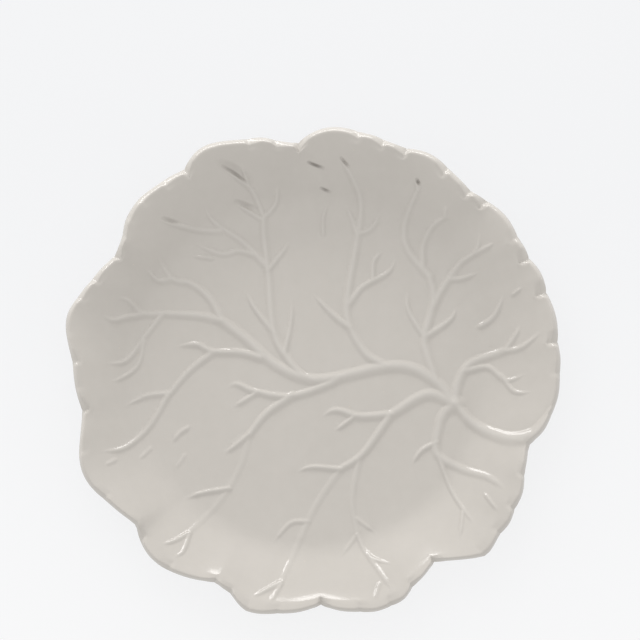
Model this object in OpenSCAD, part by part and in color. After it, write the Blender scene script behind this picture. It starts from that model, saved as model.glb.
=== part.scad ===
// Leaf shaped plate: one glazed casting with a scalloped lip, a round well, a foot ring,
// a curled stalk and raised veins that branch from a hub near the stalk.
// Millimetres, +Z up. It lies on its foot, with the origin under the middle of its outline.

/* [Leaf] */
// Width of the leaf from lip to lip
plate_w = 220; // [200:5:250]
// Height of the lip above the table
plate_h = 24; // [19:1:34]
// Thickness of the wall, measured upright
wall = 4.5; // [3:0.5:6]
// Radius of the round well
well_r = 73; // [66:1:80]
// How far the flat of the well lies below its edge
well_sag = 0.8; // [0:0.2:1.6]
// Width of the curve that joins the well to the slope
turn_w = 6; // [3:1:10]
// How far the lip dips between two lobes
lobe_dip = 2.4; // [0:0.2:4]
// Width of the valley between two lobes, at the lip
valley_w = 15; // [8:1:24]
// Depth of the deepest nick between two scallops
nick_d = 1; // [0:0.1:1.2]
// How far that nick reaches in over the lip
nick_w = 1.4; // [0:0.2:1.6]

/* [Foot] */
// Outer radius of the foot ring where it rests
foot_r = 62; // [50:1:64]
// Width of the ring where it rests
foot_w = 3.2; // [2:0.2:6]
// Height of the foot ring
foot_h = 3.6; // [2:0.2:6]
// How much each side of the ring spreads towards the wall
foot_flare = 1.6; // [0.4:0.2:3]

/* [Veins] */
// Width of a main vein where it leaves the hub
vein_w = 5.2; // [3:0.2:7]
// Height of a main vein above the leaf
vein_h = 1.7; // [0.8:0.1:2.6]
// Width of the swelling where the main veins meet
hub_w = 7.2; // [5:0.2:10]
// Height of that swelling above the leaf
hub_h = 2.1; // [1.4:0.1:3]
// Width of the stalk
stalk_w = 7; // [5:0.2:9]
// Height of the stalk above the leaf
stalk_h = 2.4; // [2:0.2:3.6]
// Longest straight step along a vein
vein_step = 13; // [6:1:16]

/* [Hidden] */
glaze = [0.80, 0.78, 0.75];
bare = [0.87, 0.84, 0.79];

// Steps of a whole turn on the foot ring
$fn = 96;
// Points along each scallop of the lip
scallop_steps = 5;
// The plain rings pass one in so many of the lip's points
plain_skip = 5;
// How far a vein's root runs into the wall before the leaf cuts it off
vein_root = 1.4;
// How far the photographed plate leans back, degrees
photo_lean = 9;
// Middle of the photograph's plate, and of its well, in pixels
plate_px_share = [315, 370];
well_px_share = [309, 376];
// A vein's crest lies this many pixels below its bright edge in the photograph
crest_px_share = 2.5;

// The lip, clockwise in the photograph's pixels from the notch at the top. Each row is a
// point between two scallops, how far the scallop after it bows out, as a share of its
// chord, and how deep the nick at the point is, as a share of the deepest.
lip_px_shares = [
    [298, 141.2, 0.185, 1], [360, 131.7, 0.07, 0.5], [384, 139.3, 0.02, 0.6],
    [407, 147.8, 0.135, 0.8], [448, 167.5, 0.03, 0.7], [471, 190.5, 0.03, 0.8],
    [487, 200, 0.12, 1], [518, 237.8, 0.085, 0.4], [529, 258.2, 0.13, 1], [546, 292.2, 0.1, 0.9],
    [557, 342.3, 0.08, 0.9], [559, 373, 0.085, 0.3], [550.5, 414.8, 0.12, 0.1],
    [528, 442.7, 0.03, 0.2], [523, 475, 0.12, 0.5], [513, 508, 0.13, 0.5],
    [499, 531.7, 0.04, 0.4], [485, 555, 0.02, 0.3], [433, 559.3, 0.07, 0.8],
    [411, 585, 0.16, 0.6], [391, 603, 0.11, 0.5], [360, 609, 0.09, 0.4], [321, 601.2, 0.09, 0.8],
    [277, 610.7, 0.07, 0.4], [246, 608.7, 0.05, 0.3], [231, 590.6, 0.04, 0.5],
    [216, 580, 0.06, 0.5], [168, 568, 0.11, 0.5], [141, 538.3, 0.03, 0.6], [137, 523, 0.08, 0.2],
    [104, 497, 0.14, 0.4], [79.5, 452, 0, 0.1], [83, 409.5, 0.03, 0.3], [75.8, 388, 0.02, 0.1],
    [73, 361.5, 0.02, 0.2], [66.2, 333, 0.14, 0.1], [78, 297.5, 0.045, 0.3],
    [91.7, 280, 0.05, 0.5], [114.5, 255.3, 0, 0.8], [122.4, 234.5, 0.05, 0.2],
    [126.5, 216, 0.03, 0.2], [139, 197.5, 0.02, 0.3], [163, 180, 0.05, 0.4],
    [184, 168.4, 0.115, 0.8], [207, 143, 0.03, 0.1], [248, 138.5, 0.11, 0.5],
    [275, 139.5, 0, 0.5]];
// The valleys between the lobes: where each meets the lip, and its depth as a share of lobe_dip
valley_px_shares = [
    [298, 151, 1.00], [409, 156, 0.25], [484, 211, 0.60], [528, 262, 0.30], [543, 296, 0.30],
    [529, 444, 1.00], [499, 532, 0.40], [433, 560, 0.80], [321, 602, 1.00], [231, 591, 0.50],
    [141, 539, 0.80], [84, 415, 0.60], [117, 261, 0.80], [184, 176, 0.70]];

// Each vein in the photograph's pixels: its size at the start and at the tip as shares of a
// main vein's, then the points its crest passes.
midrib_px_shares = [
    [1.00, 0.85, [[455, 402], [436, 380], [410, 366], [380, 366], [318, 378], [278, 365],
        [245, 337], [221, 319]]],
    [0.80, 0.45, [[221, 319], [209, 297], [190, 282], [171, 277], [156, 254]]],
    [0.60, 0.40, [[171, 277], [157, 279], [145, 267]]],
    [0.80, 0.45, [[221, 319], [198, 314], [160, 312], [142, 312], [127, 299], [116, 297]]],
    [0.60, 0.40, [[142, 313], [126, 316], [113, 319], [101, 314]]],
    [0.60, 0.45, [[160, 314], [144, 335], [126, 359], [105, 363]]],
    [0.50, 0.40, [[143, 340], [137, 364], [121, 377], [110, 381]]],
    [0.75, 0.45, [[260, 356], [240, 351], [212, 350], [195, 343], [175, 346]]],
    [0.65, 0.55, [[212, 351], [188, 370], [166, 396]]],
    [0.55, 0.40, [[169, 392], [145, 395], [125, 405]]],
    [0.60, 0.45, [[166, 396], [148, 426], [125, 446], [102, 450]]],
    [0.45, 0.35, [[116, 458], [106, 463]]],
    [0.45, 0.35, [[151, 446], [139, 458]]],
    [0.50, 0.35, [[189, 425], [178, 433], [171, 443]]],
    [0.40, 0.35, [[185, 453], [175, 468]]]];
upper_px_shares = [
    [0.80, 0.75, [[437, 381], [427, 352], [425, 335], [434, 298], [430, 275]]],
    [0.80, 0.45, [[430, 275], [408, 247], [405, 222], [418, 189], [425, 181]]],
    [0.45, 0.35, [[418, 189], [416, 179]]],
    [0.65, 0.40, [[423, 266], [424, 242], [436, 222], [455, 214]]],
    [0.45, 0.35, [[445, 216], [446, 206]]],
    [0.75, 0.40, [[434, 304], [443, 287], [460, 263], [476, 250], [481, 229]]],
    [0.50, 0.40, [[476, 252], [494, 242]]],
    [0.55, 0.40, [[450, 278], [463, 277], [478, 272]]],
    [0.65, 0.40, [[428, 334], [450, 319], [458, 306]]],
    [0.65, 0.40, [[425, 336], [409, 309], [408, 288]]]];
top_px_shares = [
    [0.75, 0.70, [[388, 365], [366, 352], [348, 320], [348, 290], [355, 250]]],
    [0.70, 0.45, [[355, 250], [361, 205], [353, 178], [340, 157]]],
    [0.55, 0.40, [[359, 232], [372, 226], [381, 211]]],
    [0.55, 0.40, [[357, 234], [352, 217], [345, 203]]],
    [0.65, 0.40, [[349, 302], [363, 285], [388, 271], [397, 257]]],
    [0.55, 0.40, [[373, 279], [374, 260], [384, 248]]],
    [0.70, 0.40, [[350, 326], [334, 314], [312, 292]]]];
upper_left_px_shares = [
    [0.70, 0.70, [[308, 376], [289, 358], [273, 330], [267, 268]]],
    [0.70, 0.60, [[267, 268], [263, 232], [263, 214]]],
    [0.55, 0.40, [[263, 216], [275, 202], [277, 183]]],
    [0.55, 0.40, [[263, 214], [252, 190], [240, 179], [224, 169]]],
    [0.40, 0.35, [[248, 184], [245, 175], [241, 166]]],
    [0.50, 0.40, [[262, 218], [236, 202]]],
    [0.75, 0.40, [[266, 264], [242, 240], [213, 220], [203, 203]]],
    [0.60, 0.40, [[219, 229], [195, 228], [158, 219]]],
    [0.60, 0.40, [[254, 253], [238, 249], [220, 252], [192, 241]]],
    [0.45, 0.35, [[214, 257], [190, 254]]],
    [0.55, 0.40, [[268, 268], [290, 240]]],
    [0.60, 0.40, [[274, 332], [255, 308], [244, 288]]],
    [0.55, 0.40, [[284, 352], [290, 324], [292, 297]]],
    [0.45, 0.35, [[323, 236], [323, 216], [328, 200]]]];
right_px_shares = [
    [0.90, 0.70, [[455, 402], [458, 382], [471, 362], [505, 349]]],
    [0.60, 0.40, [[505, 349], [516, 333], [520, 324]]],
    [0.60, 0.40, [[505, 350], [521, 346], [541, 331]]],
    [0.65, 0.40, [[464, 370], [488, 366], [506, 379], [526, 373]]],
    [0.50, 0.40, [[501, 374], [514, 390], [531, 391]]],
    [0.60, 0.40, [[477, 327], [494, 315], [505, 292]]],
    [0.40, 0.35, [[512, 294], [521, 287]]]];
lower_left_px_shares = [
    [0.75, 0.50, [[342, 375], [325, 384], [289, 395], [254, 390], [236, 383], [225, 388]]],
    [0.50, 0.40, [[257, 391], [233, 406]]],
    [0.75, 0.60, [[292, 394], [266, 412], [249, 433]]],
    [0.55, 0.40, [[249, 433], [224, 453]]],
    [0.60, 0.50, [[249, 433], [240, 465], [220, 499], [188, 531]]],
    [0.50, 0.40, [[229, 487], [200, 492], [184, 498]]],
    [0.50, 0.40, [[188, 531], [175, 538], [163, 542]]],
    [0.45, 0.35, [[190, 531], [184, 548], [175, 555]]]];
bottom_px_shares = [
    [1.00, 0.80, [[455, 402], [427, 393], [391, 413]]],
    [0.75, 0.50, [[391, 413], [360, 415], [336, 409], [321, 416]]],
    [0.50, 0.40, [[356, 414], [335, 430]]],
    [0.75, 0.60, [[391, 413], [363, 452], [340, 468]]],
    [0.55, 0.40, [[340, 468], [312, 466], [297, 471]]],
    [0.65, 0.50, [[340, 468], [318, 500], [304, 528], [281, 579]]],
    [0.50, 0.40, [[308, 520], [290, 522], [273, 541]]],
    [0.50, 0.40, [[281, 579], [252, 594]]],
    [0.45, 0.35, [[281, 581], [270, 600]]],
    [0.60, 0.50, [[359, 456], [352, 498], [357, 533]]],
    [0.45, 0.35, [[357, 533], [340, 555]]],
    [0.45, 0.35, [[356, 517], [375, 531]]],
    [0.50, 0.40, [[357, 533], [369, 554], [392, 562]]],
    [0.50, 0.40, [[367, 552], [395, 591]]],
    [0.40, 0.35, [[379, 579], [374, 597]]]];
lower_right_px_shares = [
    [0.90, 0.60, [[455, 403], [445, 411], [439, 424], [437, 452], [461, 467], [487, 475], [504, 487]]],
    [0.55, 0.40, [[437, 441], [421, 450], [412, 464]]],
    [0.40, 0.35, [[484, 492], [497, 509]]],
    [0.50, 0.40, [[438, 454], [453, 492], [474, 523]]],
    [0.40, 0.35, [[462, 510], [459, 536]]]];
stalk_px_shares = [
    [0.75, 1.00, [[455, 402], [470, 418], [490, 428], [514, 432], [532, 425], [546, 414]]]];

// Where the main veins meet
hub_px_share = [455, 402];
// Order in which the vein groups are cut to fit: each begins inside an earlier one
vein_groups = [stalk_px_shares, midrib_px_shares, bottom_px_shares, upper_px_shares,
    top_px_shares, upper_left_px_shares, right_px_shares, lower_left_px_shares,
    lower_right_px_shares];

// Heights of the well's edge and of the slope's rise, and the lip's rounding
well_z = foot_h + wall;
rise = plate_h - well_z;
lip_r = wall / 2;

// From the photograph's pixels to the lip's plane, still in pixels
function flat(p) = [p.x - plate_px_share.x, (plate_px_share.y - p.y) / cos(photo_lean)];
// A scallop bows out from the chord between its two ends
function bow(a, b, share, t) =
    a + (b - a) * t + [a.y - b.y, b.x - a.x] * share * 4 * t * (1 - t);

scallops = len(lip_px_shares);
lip_px = [for (i = [0 : scallops - 1], k = [0 : scallop_steps - 1])
    bow(flat(lip_px_shares[i]), flat(lip_px_shares[(i + 1) % scallops]),
        lip_px_shares[i][2], k / scallop_steps)];
low_px = [min([for (p = lip_px) p.x]), min([for (p = lip_px) p.y])];
high_px = [max([for (p = lip_px) p.x]), max([for (p = lip_px) p.y])];
px = plate_w / (high_px.x - low_px.x);
function on_lip(p) = (flat(p) - (low_px + high_px) / 2) * px;
lip = [for (p = lip_px) (p - (low_px + high_px) / 2) * px];

// Places below the lip's outermost line show lower in the photograph, because the plate leans
// back
function below_lip(p, z) = on_lip(p) + [0, (plate_h - lip_r - z) * tan(photo_lean)];
well = below_lip(well_px_share, well_z);

// Bearing and distance from the middle of the well
function bearing(p) = atan2(p.y - well.y, p.x - well.x);
function reach(p) = norm(p - well);
points = len(lip);
turns = [for (p = lip) bearing(p)];
reaches = [for (p = lip) reach(p)];
every = [for (i = [0 : points - 1]) i];
nicks = [for (i = every) i % scallop_steps == 0 ? lip_px_shares[i / scallop_steps][3] : 0];
skipped = [for (i = [0 : plain_skip : points - 1]) i];
// The lobes without their scallops
function sum(v) = v * [for (i = v) 1];
soft = [for (i = every) let (span = 2 * scallop_steps)
    sum([for (k = [-span : span]) reaches[(i + k + points) % points]]) / (2 * span + 1)];

// How deep the valleys run at each point of the lip, as a share of lobe_dip
valley_turns = [for (v = valley_px_shares) bearing(on_lip(v))];
function apart(a, b) = abs((a - b + 540) % 360 - 180) * PI / 180 * plate_w / 2;
valleys = [for (i = every) max([for (k = [0 : len(valley_turns) - 1])
    valley_px_shares[k][2] / (1 + pow(apart(turns[i], valley_turns[k]) / (valley_w / 2), 2))])];

// Share of the slope's rise at a share u of its width: a short curve, a straight flare, and a
// slight turn outwards at the lip
turn_share = turn_w / (plate_w / 2 - well_r);
turn_out_power = 1.2;
function slope_share(u) = let (bend = u < turn_share ? u * u / (2 * turn_share)
    : u - turn_share / 2) 1 - pow(1 - bend / (1 - turn_share / 2), turn_out_power);
// The valleys deepen from nothing at the well to their full depth at the lip
dip_power = 1.5;
function slope_z(i, u) =
    well_z + rise * slope_share(u) - lobe_dip * pow(u, dip_power) * valleys[i];
// Share of the well's sag at a share s of its radius: flat, then up to the edge
flat_share = 0.8;
function sag_share(s) = 1 - max(0, (s - flat_share) / (1 - flat_share));

// Rings of the leaf's slope and of its lip, as shares of the slope's width
slope_shares = [0.15, 0.55];
inner_share = 0.94;
// The same face as tables over the bearing and over the slope, for what lies on it
function around(v, which) = [for (i = which, t = [-360, 0, 360]) [turns[i] + t, v[i]]];
soft_table = around(soft, skipped);
valley_table = around(valleys, skipped);
reach_table = around(reaches, every);
ring_shares = concat([0], slope_shares, [inner_share, 1]);
rise_table = [for (u = ring_shares) [u, slope_share(u)]];
dip_table = [for (u = ring_shares) [u, pow(u, dip_power)]];
// The slope's width follows the lobes near the well and the scallops near the lip
scallop_power = 3;
function far(u, soft_r, lip_at) = let (w = pow(min(max(u, 0), 1), scallop_power))
    soft_r * (1 - w) + (lip_at - lip_r) * w;
function share_out(r, soft_r, lip_at, guess) =
    (r - well_r) / (far(guess, soft_r, lip_at) - well_r);
function leaf_z(p) = let (a = bearing(p), r = reach(p), soft_r = lookup(a, soft_table),
    lip_at = lookup(a, reach_table), near = share_out(r, soft_r, lip_at, 0),
    nearer = share_out(r, soft_r, lip_at, near), u = share_out(r, soft_r, lip_at, nearer))
    r < well_r ? well_z - well_sag * sag_share(r / well_r)
        : well_z + rise * lookup(u, rise_table)
            - lobe_dip * lookup(u, dip_table) * lookup(a, valley_table);

// Rings of the leaf, from the well over the lip to the underside. Each is a reach from the
// well's middle and a height for every bearing. The lip's rings pass all its points, and the
// plain rings further in skip some.
function spot(i, r, z) = [well.x + r * cos(turns[i]), well.y + r * sin(turns[i]), z];
function nicked(i, r, z, share) =
    spot(i, r - nick_w * share * nicks[i], z - nick_d * share * nicks[i]);
function at_share(i, u) = well_r + u * (far(u, soft[i], reaches[i]) - well_r);
face_shares = [flat_share, 1];
lip_angles = [45, 0, -45];
// How much of a nick each of the lip's rings takes, from the crest down
nick_shares = [1, 0.6, 0, 0];
under_shares = [0.55, 0.15, 0];
rings = concat(
    [for (s = face_shares) [for (i = skipped)
        spot(i, well_r * s, well_z - well_sag * sag_share(s))]],
    [for (u = slope_shares) [for (i = skipped) spot(i, at_share(i, u), slope_z(i, u))]],
    [[for (i = every) spot(i, at_share(i, inner_share), slope_z(i, inner_share))],
        [for (i = every) nicked(i, at_share(i, 1), slope_z(i, 1), nick_shares[0])]],
    [for (k = [0 : len(lip_angles) - 1]) let (t = lip_angles[k]) [for (i = every)
        nicked(i, reaches[i] + lip_r * (cos(t) - 1), slope_z(i, 1) + lip_r * (sin(t) - 1),
            nick_shares[k + 1])]],
    [[for (i = every) spot(i, at_share(i, 1), slope_z(i, 1) - wall)]],
    [for (u = under_shares) [for (i = skipped)
        spot(i, at_share(i, u), slope_z(i, u) - wall)]]);
starts = [for (k = 0, n = 0; k < len(rings); n = n + len(rings[k]), k = k + 1) n];
function link(k, i) = starts[k] + (i + len(rings[k])) % len(rings[k]);

// Triangles between two rings, of which one may have more points than the other
function band(k) = let (a = len(rings[k]), b = len(rings[k + 1]), q = max(a, b) / min(a, b),
    left = -floor(q / 2), right = q + left)
    [for (i = [0 : min(a, b) - 1]) each concat(
        b > a ? [for (j = [left : right - 1]) [link(k, i), link(k + 1, i * q + j),
                link(k + 1, i * q + j + 1)]]
            : [for (j = [left : right - 1]) [link(k, i * q + j), link(k + 1, i),
                link(k, i * q + j + 1)]],
        b > a ? [[link(k, i), link(k + 1, i * q + right), link(k, i + 1)]]
            : [[link(k, i * q + right), link(k + 1, i), link(k + 1, i + 1)]])];

module leaf_solid() {
    last = len(rings) - 1;
    top = starts[last] + len(rings[last]);
    polyhedron(
        points = concat([for (ring = rings) each ring],
            [[well.x, well.y, well_z - well_sag], [well.x, well.y, foot_h]]),
        faces = concat(
            [for (i = [1 : len(skipped)]) [top, link(0, i - 1), link(0, i)]],
            [for (k = [0 : last - 1]) each band(k)],
            [for (i = [1 : len(skipped)]) [top + 1, link(last, i), link(last, i - 1)]]));
}

// A smooth curve through the points of a vein
function ends(v, i) = i < 0 ? 2 * v[0] - v[1]
    : i >= len(v) ? 2 * v[len(v) - 1] - v[len(v) - 2] : v[i];
function curve(v, i, t) = let (a = ends(v, i - 1), b = v[i], c = v[i + 1], d = ends(v, i + 2))
    (2 * b + (c - a) * t + (2 * a - 5 * b + 4 * c - d) * t * t
        + (3 * b - a - 3 * c + d) * t * t * t) / 2;
function on_leaf(p) = let (q = p + [0, crest_px_share]) below_lip(q, leaf_z(on_lip(q)));
function route(v) = [for (i = [0 : len(v) - 2]) let (n = ceil(norm(v[i + 1] - v[i]) / vein_step))
    for (k = [0 : n - 1]) curve(v, i, k / n), v[len(v) - 1]];

// One cross-section of a vein, square to its route, over a root in the wall. A main vein has
// steep flanks and a rounded crest, and a twig has a plain ridge.
main_shares = [[-0.5, 0], [-0.36, 0.62], [0, 1], [0.36, 0.62], [0.5, 0]];
twig_shares = [[-0.5, 0], [-0.2, 0.92], [0.2, 0.92], [0.5, 0]];
function section(p, along, w, h, shares) =
    let (side = [-along.y, along.x] / norm(along) * w)
    [for (c = shares) let (q = p + side * c.x)
        [q.x, q.y, leaf_z(q) + (c.y > 0 ? h * c.y : -vein_root)]];

// How quickly a vein narrows and flattens with its size
thin_power = 0.6;
low_power = 0.8;
// A vein of width w and height h, which thins from its start share to its tip share and has
// a rounded end
module vein(row, w, h) {
    path = route([for (p = row[2]) on_leaf(p)]);
    n = len(path) - 1;
    size = [for (i = [0 : n]) row[0] + (row[1] - row[0]) * i / n];
    shares = row[0] > 0.6 ? main_shares : twig_shares;
    m = len(shares);
    function side(i, j) = i * m + j % m;
    polyhedron(
        points = [for (i = [0 : n]) each section(path[i],
            path[min(i + 1, n)] - path[max(i - 1, 0)], w * pow(size[i], thin_power),
            h * pow(size[i], low_power), shares)],
        faces = concat([[for (j = [1 : m]) m - j]],
            [for (i = [0 : n - 1], j = [0 : m - 1]) each [
                [side(i, j), side(i + 1, j + 1), side(i + 1, j)],
                [side(i, j), side(i, j + 1), side(i + 1, j + 1)]]],
            [[for (j = [0 : m - 1]) n * m + j]]));
    bead(path[n], w * pow(size[n], thin_power), h * pow(size[n], low_power));
}
// A small dome on the leaf, as wide as a vein: radius and height of its foot and of its top
bead_shares = [[0.49, 0.1], [0.2, 0.9]];
module bead(p, w, h, sides = 6) {
    translate([p.x, p.y, leaf_z(p) - vein_root]) hull()
        for (c = bead_shares) cylinder(h = vein_root + h * c.y, r = w * c.x, $fn = sides);
}

module group(k) {
    for (row = vein_groups[k]) vein(row, k == 0 ? stalk_w : vein_w, k == 0 ? stalk_h : vein_h);
    if (k == 0) bead(on_leaf(hub_px_share), hub_w, hub_h, 12);
}

// A group of veins that lies on the leaf and stops against the groups before it
module fitted(k) {
    difference() {
        group(k);
        leaf_solid();
        for (j = [0 : 1 : k - 1]) group(j);
    }
}

module leaf_dish() { color(glaze) leaf_solid(); }
module foot_ring() {
    soft_r = foot_w / 4;
    color(bare) translate([well.x, well.y, 0]) rotate_extrude() polygon(concat(
        [[foot_r - foot_w - foot_flare, foot_h]],
        [for (t = [180, 225, 270]) [foot_r - foot_w + soft_r * (1 + cos(t)),
            soft_r * (1 + sin(t))]],
        [for (t = [270, 315, 360]) [foot_r - soft_r * (1 - cos(t)), soft_r * (1 + sin(t))]],
        [[foot_r + foot_flare, foot_h]]));
}
module stalk() { color(glaze) fitted(0); }
module midrib_veins() { color(glaze) fitted(1); }
module bottom_veins() { color(glaze) fitted(2); }
module upper_veins() { color(glaze) fitted(3); }
module top_veins() { color(glaze) fitted(4); }
module upper_left_veins() { color(glaze) fitted(5); }
module right_veins() { color(glaze) fitted(6); }
module lower_left_veins() { color(glaze) fitted(7); }
module lower_right_veins() { color(glaze) fitted(8); }

leaf_dish();
foot_ring();
stalk();
midrib_veins();
upper_veins();
top_veins();
upper_left_veins();
right_veins();
lower_left_veins();
bottom_veins();
lower_right_veins();
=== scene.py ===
"""Dresses the leaf shaped plate: one glazed skin with its veins, the turned foot and a plain studio."""

import math

import bmesh
import bpy
from bpy.props import FloatProperty, FloatVectorProperty, PointerProperty
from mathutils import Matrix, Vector
from mathutils.bvhtree import BVHTree
from mathutils.kdtree import KDTree


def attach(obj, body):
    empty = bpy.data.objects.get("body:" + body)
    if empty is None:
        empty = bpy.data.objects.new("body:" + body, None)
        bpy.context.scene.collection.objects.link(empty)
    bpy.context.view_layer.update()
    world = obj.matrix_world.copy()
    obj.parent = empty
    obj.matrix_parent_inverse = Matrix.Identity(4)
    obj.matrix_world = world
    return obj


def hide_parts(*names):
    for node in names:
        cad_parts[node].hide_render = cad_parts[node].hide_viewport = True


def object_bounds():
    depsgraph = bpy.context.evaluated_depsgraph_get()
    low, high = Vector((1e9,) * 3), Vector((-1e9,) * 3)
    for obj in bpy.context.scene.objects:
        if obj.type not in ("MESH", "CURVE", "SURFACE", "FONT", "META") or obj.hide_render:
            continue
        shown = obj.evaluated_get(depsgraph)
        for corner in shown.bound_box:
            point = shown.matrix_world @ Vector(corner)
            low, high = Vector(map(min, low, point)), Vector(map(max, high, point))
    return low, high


bl_info = {
    "name": "Leaf Shaped Plate",
    "version": (1, 0, 0),
    "blender": (4, 5, 0),
    "location": "3D View > Sidebar > Leaf Plate",
    "description": "Models a glazed leaf plate with branching veins and a scalloped lip",
    "category": "Object",
}

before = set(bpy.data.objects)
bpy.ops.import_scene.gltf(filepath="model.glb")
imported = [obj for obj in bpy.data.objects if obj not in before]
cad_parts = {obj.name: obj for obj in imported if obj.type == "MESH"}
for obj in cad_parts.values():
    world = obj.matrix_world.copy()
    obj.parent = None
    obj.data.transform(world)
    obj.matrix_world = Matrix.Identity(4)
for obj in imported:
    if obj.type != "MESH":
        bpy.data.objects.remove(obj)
CAD_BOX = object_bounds()
# Width of the solids, to a tenth of a millimetre
CAD_WIDTH = round(CAD_BOX[1][0] - CAD_BOX[0][0], 4)

# The lip, clockwise in the photograph's pixels from the notch at the top: a point between two
# scallops, how far the scallop after it bows out as a share of its chord, and how deep the nick
# at the point is as a share of the deepest
LIP_ROWS = [
    (298, 141.2, 0.185, 1), (360, 131.7, 0.07, 0.5), (384, 139.3, 0.02, 0.6),
    (407, 147.8, 0.135, 0.8), (448, 167.5, 0.03, 0.7), (471, 190.5, 0.03, 0.8),
    (487, 200, 0.12, 1), (518, 237.8, 0.085, 0.4), (529, 258.2, 0.13, 1), (546, 292.2, 0.1, 0.9),
    (557, 342.3, 0.08, 0.9), (559, 373, 0.085, 0.3), (550.5, 414.8, 0.12, 0.1),
    (528, 442.7, 0.03, 0.2), (523, 475, 0.12, 0.5), (513, 508, 0.13, 0.5),
    (499, 531.7, 0.04, 0.4), (485, 555, 0.02, 0.3), (433, 559.3, 0.07, 0.8),
    (411, 585, 0.16, 0.6), (391, 603, 0.11, 0.5), (360, 609, 0.09, 0.4), (321, 601.2, 0.09, 0.8),
    (277, 610.7, 0.07, 0.4), (246, 608.7, 0.05, 0.3), (231, 590.6, 0.04, 0.5),
    (216, 580, 0.06, 0.5), (168, 568, 0.11, 0.5), (141, 538.3, 0.03, 0.6), (137, 523, 0.03, 0.2),
    (104, 497, 0.14, 0.4), (79.5, 452, 0, 0.2), (83, 409.5, 0.03, 0.8), (75.8, 388, 0.02, 0.2),
    (73, 361.5, 0.02, 0.5), (66.2, 333, 0.14, 0.1), (78, 297.5, 0.045, 0.3),
    (91.7, 280, 0.05, 0.5), (114.5, 255.3, 0, 0.8), (122.4, 234.5, 0.05, 0.2),
    (126.5, 216, 0.03, 0.2), (139, 197.5, 0.02, 0.3), (163, 180, 0.05, 0.4),
    (184, 168.4, 0.115, 0.8), (207, 143, 0.03, 0.1), (248, 138.5, 0.11, 0.5),
    (275, 139.5, 0, 0.5)]

# Where the valleys between the lobes meet the lip, and their depth as a share of the lobe dip
VALLEY_ROWS = [
    (298, 151, 1.00), (409, 156, 0.25), (484, 211, 0.60), (528, 262, 0.30), (543, 296, 0.30),
    (529, 444, 1.00), (499, 532, 0.40), (433, 560, 0.80), (321, 602, 1.00), (231, 591, 0.50),
    (141, 539, 0.80), (84, 415, 0.60), (117, 261, 0.80), (184, 176, 0.70)]

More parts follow.
